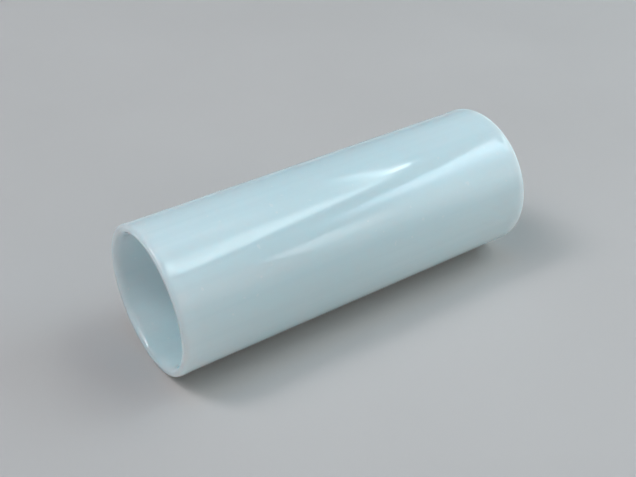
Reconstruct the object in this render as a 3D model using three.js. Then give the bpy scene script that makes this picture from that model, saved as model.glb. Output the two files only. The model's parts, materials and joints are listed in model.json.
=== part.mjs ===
// Guitar slide: one length of opal (milk) glass tube that a player wears on a finger.
//
// The object is a single piece of glass. Its wall is straight and of even thickness, and it is open
// at both ends. Each rim was ground square and then fire-polished, which leaves a narrow flat crest
// between two rounded corners.
//
// Units are millimetres. The slide lies on its side along X, +Z is up, and the origin is where the
// middle of the tube touches the surface that it lies on.

import * as THREE from "three";

// Driving dimensions
const LENGTH = 69; // from crest to crest
const OUTER_DIAMETER = 25.6;
const WALL = 1.6;
const CREST = 0.3; // width of the flat ring left on each rim
const FACETS = 72; // flats around the tube, a multiple of 4 so that one lies on the surface
const CORNER_STEPS = 5; // straight steps in each rounded corner

// Worked out from them
const OUTER_RADIUS = OUTER_DIAMETER / 2;
const BORE_RADIUS = OUTER_RADIUS - WALL;
const CORNER = (WALL - CREST) / 2; // radius of the rim's outer and inner corners
const HALF_LENGTH = LENGTH / 2;
const HALF_FACET = Math.PI / FACETS;

// The flats, and not the ridges between them, lie on the true cylinder.
const RIDGE_FACTOR = 1 / Math.cos(HALF_FACET);

const opalGlass = new THREE.MeshStandardMaterial({
  color: 0xcfe6ea,
  roughness: 0.08,
  metalness: 0,
});

// A quarter circle of points about (centreRadius, centreHeight), from one angle to the next.
function corner(centreRadius, centreHeight, startAngle) {
  const points = [];
  for (let step = 0; step <= CORNER_STEPS; step += 1) {
    const angle = startAngle + (step / CORNER_STEPS) * (Math.PI / 2);
    points.push(
      new THREE.Vector2(
        centreRadius + CORNER * Math.cos(angle),
        centreHeight + CORNER * Math.sin(angle),
      ),
    );
  }
  return points;
}

// The wall's closed section, as (radius, height) points: up the outside, over the top rim, down the
// bore and round the bottom rim.
function wallSection() {
  const outerCentre = OUTER_RADIUS - CORNER;
  const boreCentre = BORE_RADIUS + CORNER;
  const cornerHeight = HALF_LENGTH - CORNER;
  const points = [
    ...corner(outerCentre, -cornerHeight, -Math.PI / 2),
    ...corner(outerCentre, cornerHeight, 0),
    ...corner(boreCentre, cornerHeight, Math.PI / 2),
    ...corner(boreCentre, -cornerHeight, Math.PI),
  ];
  points.forEach((point) => {
    point.x *= RIDGE_FACTOR;
  });
  points.push(points[0].clone());
  return points;
}

// The tube is turned about Y, then laid along X with a flat underneath.
function glassTube() {
  const geometry = new THREE.LatheGeometry(wallSection(), FACETS, HALF_FACET);
  geometry.rotateZ(-Math.PI / 2);
  const mesh = new THREE.Mesh(geometry, opalGlass);
  mesh.name = "glass_tube";
  mesh.position.z = OUTER_RADIUS;
  return mesh;
}

const guitarSlide = new THREE.Group();
guitarSlide.add(glassTube());

export default guitarSlide;
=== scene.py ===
"""Guitar slide: the looks of one opal (milk) glass tube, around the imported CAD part.

Everything is in metres, in the frame of the CAD part: the tube lies along X and touches the floor
at z = 0. Directions to the lights and the camera are an azimuth and an elevation, in degrees.
Azimuth 0 is towards +Y and 90 is towards +X.
"""

import json
import math

import bpy
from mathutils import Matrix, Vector

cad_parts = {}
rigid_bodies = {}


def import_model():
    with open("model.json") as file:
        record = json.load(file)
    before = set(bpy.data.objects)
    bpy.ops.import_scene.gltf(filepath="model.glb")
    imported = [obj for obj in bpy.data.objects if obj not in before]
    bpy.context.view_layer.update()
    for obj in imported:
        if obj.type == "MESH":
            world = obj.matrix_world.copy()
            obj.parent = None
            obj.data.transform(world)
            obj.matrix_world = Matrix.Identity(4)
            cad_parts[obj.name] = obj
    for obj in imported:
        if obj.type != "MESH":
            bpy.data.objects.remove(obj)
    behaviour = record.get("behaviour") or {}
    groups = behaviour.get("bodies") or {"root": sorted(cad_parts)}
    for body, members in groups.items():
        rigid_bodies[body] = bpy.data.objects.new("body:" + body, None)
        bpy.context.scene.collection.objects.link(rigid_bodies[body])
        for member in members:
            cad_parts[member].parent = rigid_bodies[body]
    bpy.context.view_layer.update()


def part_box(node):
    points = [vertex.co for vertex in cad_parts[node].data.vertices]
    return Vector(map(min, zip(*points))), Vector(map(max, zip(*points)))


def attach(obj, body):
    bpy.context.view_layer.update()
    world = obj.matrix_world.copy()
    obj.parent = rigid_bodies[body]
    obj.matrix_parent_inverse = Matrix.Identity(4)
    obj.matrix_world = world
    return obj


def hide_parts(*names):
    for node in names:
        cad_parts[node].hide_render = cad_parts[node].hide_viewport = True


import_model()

NODE = "glass_tube"
MM = 0.001

# ---------------------------------------------------------------- sizes of the tube
tube_low, tube_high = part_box(NODE)
CENTRE = (tube_low + tube_high) / 2
HALF_LENGTH = (tube_high.x - tube_low.x) / 2
OUTER_RADIUS = (tube_high.z - tube_low.z) / 2
WALL = 1.6 * MM
BORE_RADIUS = OUTER_RADIUS - WALL

# Each rim looks ground square and softened by flame. Its corners are quarters of a superellipse,
# longer along the tube than deep, so the wall falls away gently at first and then turns over quickly.
OUTER_EASE_LENGTH = 1.05 * MM
OUTER_EASE_DEPTH = 0.66 * MM
OUTER_EASE_POWER = 2.6  # 2 would be an ellipse
BORE_EASE_LENGTH = 1.4 * MM
BORE_EASE_DEPTH = 0.74 * MM
BORE_EASE_POWER = 2.1

# Each rim also looks a trace thicker than the wall behind it, as flame leaves it.
BEAD_HEIGHT = 0.05 * MM
BEAD_SLOPE = 1.5 * MM  # how far along the tube it takes to die away

# How finely the mesh follows it
TURNS = 256  # faces around
EASE_STEPS = 18  # faces along each corner of a rim
WALL_STEPS = 110  # faces along the straight wall, inside and out

# Drawn tube is never perfectly true. All of these only take glass away.
OUTER_WAVE = 0.006 * MM
BORE_WAVE = 0.018 * MM
RIM_WAVE = 0.03 * MM

# ---------------------------------------------------------------- the view
CAMERA_AZIMUTH = 214.326  # where the camera stands, seen from the tube
CAMERA_ELEVATION = 34.837
CAMERA_DISTANCE = 168.585 * MM
CAMERA_AIM = Vector((-1.659, 0.348, -0.931)) * MM  # from the tube's centre
CAMERA_LENS = 55.229
SENSOR_WIDTH = 36  # in millimetres, as the lens is

# ---------------------------------------------------------------- the studio's sizes
FLOOR_REACH = 3.0  # from the middle to each side
WALL_DISTANCE = 2.9
WALL_HEIGHT = 1.8
WALL_SIDES = 64

LIGHT_DISTANCE = 1.0
LIGHT_SPACING = 0.01  # each panel is this much farther out, so no two lie in the same surface
PANEL_COLUMNS = 32
PANEL_ROWS = 16

# ---------------------------------------------------------------- the glass
GLASS_IOR = 1.5
SCATTER_DEPTH = 4 * MM
SCATTER_SHARES = (1.4, 1.0, 0.95)  # red light goes deepest


def smooth(share):
    """Eases from 0 to 1 as share goes from 0 to 1."""
    share = min(max(share, 0.0), 1.0)
    return share * share * (3 - 2 * share)


def direction(azimuth, elevation):
    """The unit vector towards a point of the sky."""
    a, e = math.radians(azimuth), math.radians(elevation)
    return Vector((math.sin(a) * math.cos(e), math.cos(a) * math.cos(e), math.sin(e)))


# ---------------------------------------------------------------- mesh
def waver(x, turn, seed):
    """A smooth uneven number from 0 to 1, by place along the tube in metres and angle around it."""
    along = x / (OUTER_RADIUS * 2)
    total = (
        math.sin(1.9 * along + 2 * turn + seed)
        + 0.7 * math.sin(3.1 * along - 3 * turn + 1.7 * seed)
        + 0.5 * math.sin(5.3 * along + 5 * turn + 2.9 * seed)
        + 0.3 * math.sin(0.8 * along + 9 * turn + 4.1 * seed)
    )
    return 0.5 + total / 5


def quarter(length, depth, power):
    """Points of a rim's corner, as (distance in from the crest, depth below the wall)."""
    points = []
    for step in range(EASE_STEPS + 1):
        angle = step / EASE_STEPS * math.pi / 2
        along = math.sin(angle) ** (2 / power)
        across = math.cos(angle) ** (2 / power) if step < EASE_STEPS else 0.0
        points.append((length * (1 - along), depth * (1 - across)))
    return points


def wall_places(reach):
    """Places along the wall between -reach and reach, closer together towards its ends."""
    return [-reach * math.cos(math.pi * step / WALL_STEPS) for step in range(1, WALL_STEPS)]


def wall_section():
    """The wall's closed section, as (x, radius) points."""
    outer = quarter(OUTER_EASE_LENGTH, OUTER_EASE_DEPTH, OUTER_EASE_POWER)
    bore = quarter(BORE_EASE_LENGTH, BORE_EASE_DEPTH, BORE_EASE_POWER)
    points = []
    straight = HALF_LENGTH - OUTER_EASE_LENGTH
    for x in wall_places(straight):
        fall = smooth((straight - abs(x)) / BEAD_SLOPE)
        points.append((x, OUTER_RADIUS - BEAD_HEIGHT * fall))
    for inward, depth in outer:
        points.append((HALF_LENGTH - inward, OUTER_RADIUS - depth))
    for inward, depth in reversed(bore):
        points.append((HALF_LENGTH - inward, BORE_RADIUS + depth))
    for x in reversed(wall_places(HALF_LENGTH - BORE_EASE_LENGTH)):
        points.append((x, BORE_RADIUS))
    for inward, depth in bore:
        points.append((inward - HALF_LENGTH, BORE_RADIUS + depth))
    for inward, depth in reversed(outer):
        points.append((inward - HALF_LENGTH, OUTER_RADIUS - depth))
    return points


def tube_mesh():
    """The tube's wall as a closed mesh of quads."""
    section = wall_section()
    middle = (OUTER_RADIUS + BORE_RADIUS) / 2
    vertices = []
    for x, radius in section:
        outside = radius > middle
        for k in range(TURNS):
            turn = 2 * math.pi * k / TURNS
            if outside:
                true_radius = radius - OUTER_WAVE * waver(x, turn, 0.4)
            else:
                true_radius = radius + BORE_WAVE * waver(x, turn, 2.2)
            crest = max(0.0, 1 - (HALF_LENGTH - abs(x)) / OUTER_EASE_LENGTH)
            side = math.copysign(1, x)
            true_x = x - side * RIM_WAVE * crest * waver(side * HALF_LENGTH, turn, 5.0)
            vertices.append(
                (
                    CENTRE.x + true_x,
                    CENTRE.y + true_radius * math.cos(turn),
                    CENTRE.z + true_radius * math.sin(turn),
                )
            )
    faces = []
    rings = len(section)
    for ring in range(rings):
        following = (ring + 1) % rings
        for k in range(TURNS):
            after = (k + 1) % TURNS
            faces.append(
                (
                    ring * TURNS + k,
                    ring * TURNS + after,
                    following * TURNS + after,
                    following * TURNS + k,
                )
            )
    mesh = bpy.data.meshes.new("opal_tube")
    mesh.from_pydata(vertices, [], faces)
    mesh.validate()
    mesh.update()
    return mesh


# ---------------------------------------------------------------- materials
class Nodes:
    """A shorthand for wiring a material's nodes."""

    def __init__(self, material):
        material.use_nodes = True
        self.tree = material.node_tree
        self.tree.nodes.clear()

    def add(self, kind, settings=None, **inputs):
        node = self.tree.nodes.new(kind)
        for name, value in (settings or {}).items():
            setattr(node, name, value)
        for name, value in inputs.items():
            self.feed(node.inputs[name.replace("_", " ")], value)
        return node

    def feed(self, socket, value):
        if isinstance(value, bpy.types.NodeSocket):
            self.tree.links.new(value, socket)
        else:
            socket.default_value = value

    def math(self, operation, first, second=0.0):
        node = self.add("ShaderNodeMath", {"operation": operation})
        self.feed(node.inputs[0], first)
        self.feed(node.inputs[1], second)
        return node.outputs[0]

    def remap(self, value, from_low, from_high, to_low, to_high):
        node = self.add("ShaderNodeMapRange", {"interpolation_type": "SMOOTHSTEP"})
        for name, number in (
            ("Value", value),
            ("From Min", from_low),
            ("From Max", from_high),
            ("To Min", to_low),
            ("To Max", to_high),
        ):
            self.feed(node.inputs[name], number)
        return node.outputs["Result"]

    def mix(self, share, first, second):
        node = self.add("ShaderNodeMix", {"data_type": "RGBA"})
        self.feed(node.inputs["Factor"], share)
        self.feed(node.inputs["A"], first)
        self.feed(node.inputs["B"], second)
        return node.outputs["Result"]

    def noise(self, place, scale, stretch=(1, 1, 1), detail=2.0):
        """Noise with about `scale` waves a metre, drawn out by dividing the place by stretch."""
        mapped = self.add("ShaderNodeMapping")
        self.feed(mapped.inputs["Vector"], place)
        mapped.inputs["Scale"].default_value = [scale / s for s in stretch]
        node = self.add("ShaderNodeTexNoise", {}, Scale=1.0, Detail=detail)
        self.feed(node.inputs["Vector"], mapped.outputs["Vector"])
        return node.outputs["Fac"]


def srgb(red, green, blue):
    """A colour given as 0 to 255, as the linear numbers that shaders take."""
    linear = []
    for value in (red, green, blue):
        share = value / 255
        linear.append(share / 12.92 if share <= 0.04045 else ((share + 0.055) / 1.055) ** 2.4)
    return (*linear, 1.0)


def opal_glass():
    """White opal glass: light goes a few millimetres into it, under a polished surface."""
    material = bpy.data.materials.new("opal_glass")
    n = Nodes(material)
    place = n.add("ShaderNodeTexCoord").outputs["Object"]

    cloud = n.noise(place, 60, (2.5, 1, 1), 3)
    striae = n.noise(place, 700, (60, 1, 1), 2)
    body = n.mix(n.remap(cloud, 0.3, 0.7, 0, 1), srgb(213, 235, 239), srgb(218, 239, 243))
    body = n.mix(n.remap(striae, 0.45, 0.75, 0, 0.35), body, srgb(207, 231, 236))

    specks = n.noise(place, 1100, (1, 1, 1), 0)
    body = n.mix(n.remap(specks, 0.8, 0.86, 0, 0.4), body, srgb(236, 244, 245))

    smudge = n.noise(place, 110, (1.6, 1, 1), 4)
    roughness = n.remap(smudge, 0.4, 0.75, 0.045, 0.1)

    ripple = n.noise(place, 160, (3, 1, 1), 1)
    grain = n.noise(place, 2600, (1, 1, 1), 1)
    ripple_bump = n.add("ShaderNodeBump", {}, Strength=0.06, Distance=0.00025, Height=ripple)
    bump = n.add(
        "ShaderNodeBump", {}, Strength=0.04, Distance=0.00002, Height=grain,
        Normal=ripple_bump.outputs["Normal"],
    )

    shader = n.add("ShaderNodeBsdfPrincipled")
    n.feed(shader.inputs["Base Color"], body)
    n.feed(shader.inputs["Roughness"], roughness)
    n.feed(shader.inputs["Normal"], bump.outputs["Normal"])
    shader.inputs["IOR"].default_value = GLASS_IOR
    shader.inputs["Subsurface Weight"].default_value = 1.0
    shader.inputs["Subsurface Radius"].default_value = SCATTER_SHARES
    shader.inputs["Subsurface Scale"].default_value = SCATTER_DEPTH
    output = n.add("ShaderNodeOutputMaterial")
    n.feed(output.inputs["Surface"], shader.outputs["BSDF"])
    return material


def floor_material():
    """A plain pale matt floor."""
    material = bpy.data.materials.new("pale_floor")
    n = Nodes(material)
    place = n.add("ShaderNodeTexCoord").outputs["Object"]
    mottle = n.noise(place, 12, (1, 1, 1), 4)
    colour = n.mix(n.remap(mottle, 0.3, 0.7, 0, 1), srgb(198, 192, 188), srgb(202, 196, 192))
    shader = n.add("ShaderNodeBsdfPrincipled")
    n.feed(shader.inputs["Base Color"], colour)
    shader.inputs["Roughness"].default_value = 0.75
    output = n.add("ShaderNodeOutputMaterial")
    n.feed(output.inputs["Surface"], shader.outputs["BSDF"])
    return material


def backdrop_material():
    """A plain pale wall that is lit evenly from top to bottom."""
    material = bpy.data.materials.new("pale_wall")
    n = Nodes(material)
    place = n.add("ShaderNodeTexCoord").outputs["Object"]
    mottle = n.noise(place, 2, (1, 1, 1), 3)
    colour = n.mix(n.remap(mottle, 0.3, 0.7, 0, 1), srgb(172, 176, 178), srgb(176, 180, 182))
    emission = n.add("ShaderNodeEmission", {}, Color=colour, Strength=1.0)
    output = n.add("ShaderNodeOutputMaterial")
    n.feed(output.inputs["Surface"], emission.outputs["Emission"])
    return material


# ---------------------------------------------------------------- the piece
def glass_piece():
    piece = bpy.data.objects.new("opal_tube", tube_mesh())
    bpy.context.scene.collection.objects.link(piece)
    for polygon in piece.data.polygons:
        polygon.use_smooth = True
    piece.data.materials.append(opal_glass())
    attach(piece, "root")
    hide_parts(NODE)


# ---------------------------------------------------------------- the studio
def floor():
    low, high = -FLOOR_REACH, FLOOR_REACH
    mesh = bpy.data.meshes.new("floor")
    mesh.from_pydata(
        [(low, low, 0), (high, low, 0), (high, high, 0), (low, high, 0)],
        [],
        [(0, 1, 2, 3)],
    )
    plane = bpy.data.objects.new("floor", mesh)
    bpy.context.scene.collection.objects.link(plane)
    mesh.materials.append(floor_material())


def backdrop():
    """A pale wall far behind everything, which only the camera sees, so low views have no dark sky."""
    vertices, faces = [], []
    for side in range(WALL_SIDES):
        around = direction(360 * side / WALL_SIDES, 0) * WALL_DISTANCE
        vertices.append((around.x, around.y, 0))
        vertices.append((around.x, around.y, WALL_HEIGHT))
        foot, next_foot = 2 * side, 2 * ((side + 1) % WALL_SIDES)
        faces.append((foot, next_foot, next_foot + 1, foot + 1))
    mesh = bpy.data.meshes.new("backdrop")
    mesh.from_pydata(vertices, [], faces)
    mesh.materials.append(backdrop_material())
    wall = bpy.data.objects.new("backdrop", mesh)
    bpy.context.scene.collection.objects.link(wall)
    wall.visible_diffuse = False
    wall.visible_glossy = False
    wall.visible_transmission = False
    wall.visible_shadow = False


def light_material(name, radiance, colour):
    """Light as bright as the mesh's own glow says, clear otherwise, so that panels in line add up."""
    material = bpy.data.materials.new(name)
    n = Nodes(material)
    glow = n.add("ShaderNodeAttribute", {"attribute_name": "glow"})
    emission = n.add("ShaderNodeEmission", {}, Color=(*colour, 1.0))
    n.feed(emission.inputs["Strength"], n.math("MULTIPLY", glow.outputs["Fac"], radiance))
    both = n.add("ShaderNodeAddShader")
    n.feed(both.inputs[0], emission.outputs["Emission"])
    n.feed(both.inputs[1], n.add("ShaderNodeBsdfTransparent").outputs["BSDF"])
    output = n.add("ShaderNodeOutputMaterial")
    n.feed(output.inputs["Surface"], both.outputs["Shader"])
    return material


def soft_panel(name, azimuths, elevations, radiance, colour, fade=(0.3, 0.3, 0.3, 0.3), facing=None):
    """A curved light panel, a little over a metre away, that covers a patch of the sky.

    It fades out over the given shares of its width and height at its first azimuth, its last one,
    its foot and its top. A panel with a facing looks like a window in a flat wall at that azimuth:
    its level edges sink away to both sides, and the elevations are those straight across from it.
    """
    distance = LIGHT_DISTANCE + LIGHT_SPACING * len(bpy.data.objects)
    first, last, foot, top = fade
    vertices, faces, glow = [], [], []
    for row in range(PANEL_ROWS + 1):
        for column in range(PANEL_COLUMNS + 1):
            u, v = column / PANEL_COLUMNS, row / PANEL_ROWS
            azimuth = azimuths[0] + u * (azimuths[1] - azimuths[0])
            elevation = elevations[0] + v * (elevations[1] - elevations[0])
            if facing is not None:
                turned = math.radians(azimuth - facing)
                elevation = math.degrees(math.atan(math.tan(math.radians(elevation)) * math.cos(turned)))
            vertices.append(CENTRE + direction(azimuth, elevation) * distance)
            share = smooth(u / first) * smooth((1 - u) / last)
            glow.append(share * smooth(v / foot) * smooth((1 - v) / top))
    for row in range(PANEL_ROWS):
        for column in range(PANEL_COLUMNS):
            corner = row * (PANEL_COLUMNS + 1) + column
            above = corner + PANEL_COLUMNS + 1
            faces.append((corner, corner + 1, above + 1, above))
    mesh = bpy.data.meshes.new(name)
    mesh.from_pydata(vertices, [], faces)
    mesh.attributes.new("glow", "FLOAT", "POINT").data.foreach_set("value", glow)
    mesh.materials.append(light_material(name, radiance, colour))
    panel = bpy.data.objects.new(name, mesh)
    bpy.context.scene.collection.objects.link(panel)
    panel.visible_camera = False


def studio():
    world = bpy.data.worlds.new("studio")
    bpy.context.scene.world = world
    world.use_nodes = True
    background = world.node_tree.nodes["Background"]
    background.inputs["Color"].default_value = (0.9, 0.96, 1.0, 1.0)
    background.inputs["Strength"].default_value = 0.13
    sky = (0.25, 0.65, 1.0)
    pane = (0.65, 0.86, 1.0)
    cool = (0.82, 0.97, 1.0)
    day = (0.92, 0.94, 1.0)
    white = (1.0, 1.0, 1.0)
    warm = (1.0, 0.33, 0.1)
    soft_panel("key", (215, 325), (40, 76), 2.1, day, (0.3, 0.15, 0.3, 0.15))
    soft_panel("rim_light", (284, 314), (44, 72), 9.5, day, (0.2, 0.2, 0.3, 0.3))
    soft_panel("ceiling", (0, 360), (80, 89.9), 3.8, sky, (0.01, 0.01, 0.5, 0.01))
    soft_panel("cove", (25, 104), (57, 72), 0.9, white, (0.4, 0.3, 0.2, 0.5))
    soft_panel("transom", (86, 150), (57.2, 74), 4.8, cool, (0.4, 0.08, 0.1, 0.8), 118)
    soft_panel("glint_line", (46, 114), (56.6, 60.3), 5.0, cool, (0.35, 0.5, 0.15, 0.8), 90)
    soft_panel("glint", (68, 90), (56.2, 58.4), 7.0, cool, (0.7, 0.15, 0.4, 0.4), 98)
    soft_panel("spark", (80, 88.5), (56.4, 57.3), 16.0, white, (0.3, 0.2, 0.2, 0.4), 98)
    soft_panel("window", (88, 146), (26, 51.7), 3.7, pane, (0.15, 0.35, 0.8, 0.1), 106)
    soft_panel("ridge", (92, 141), (42, 51.2), 2.0, cool, (0.2, 0.35, 0.6, 0.2), 107)
    soft_panel("low_window", (35, 150), (0, 32), 1.8, cool, (0.3, 0.3, 0.1, 0.5))
    soft_panel("sash", (128, 153), (-5, 41), 1.6, white, (0.5, 0.05, 0.7, 0.2), 118)
    soft_panel("patch", (140.5, 153.5), (21, 41), 2.5, white, (0.6, 0.12, 0.7, 0.5), 118)
    soft_panel("warm", (152, 170), (1, 46), 0.85, warm, (0.1, 0.4, 0.2, 0.4))


def camera():
    data = bpy.data.cameras.new("camera")
    data.lens = CAMERA_LENS
    data.sensor_width = SENSOR_WIDTH
    data.clip_start = 0.01
    data.clip_end = 20
    view = bpy.data.objects.new("camera", data)
    bpy.context.scene.collection.objects.link(view)
    back = direction(CAMERA_AZIMUTH, CAMERA_ELEVATION)
    view.location = CENTRE + CAMERA_AIM + back * CAMERA_DISTANCE
    view.rotation_mode = "QUATERNION"
    view.rotation_quaternion = (-back).to_track_quat("-Z", "Y")
    bpy.context.scene.camera = view


camera()
glass_piece()
floor()
backdrop()
studio()
bpy.context.scene.view_settings.view_transform = "Standard"
bpy.context.scene.cycles.diffuse_bounces = 12
bpy.context.scene.cycles.max_bounces = 16
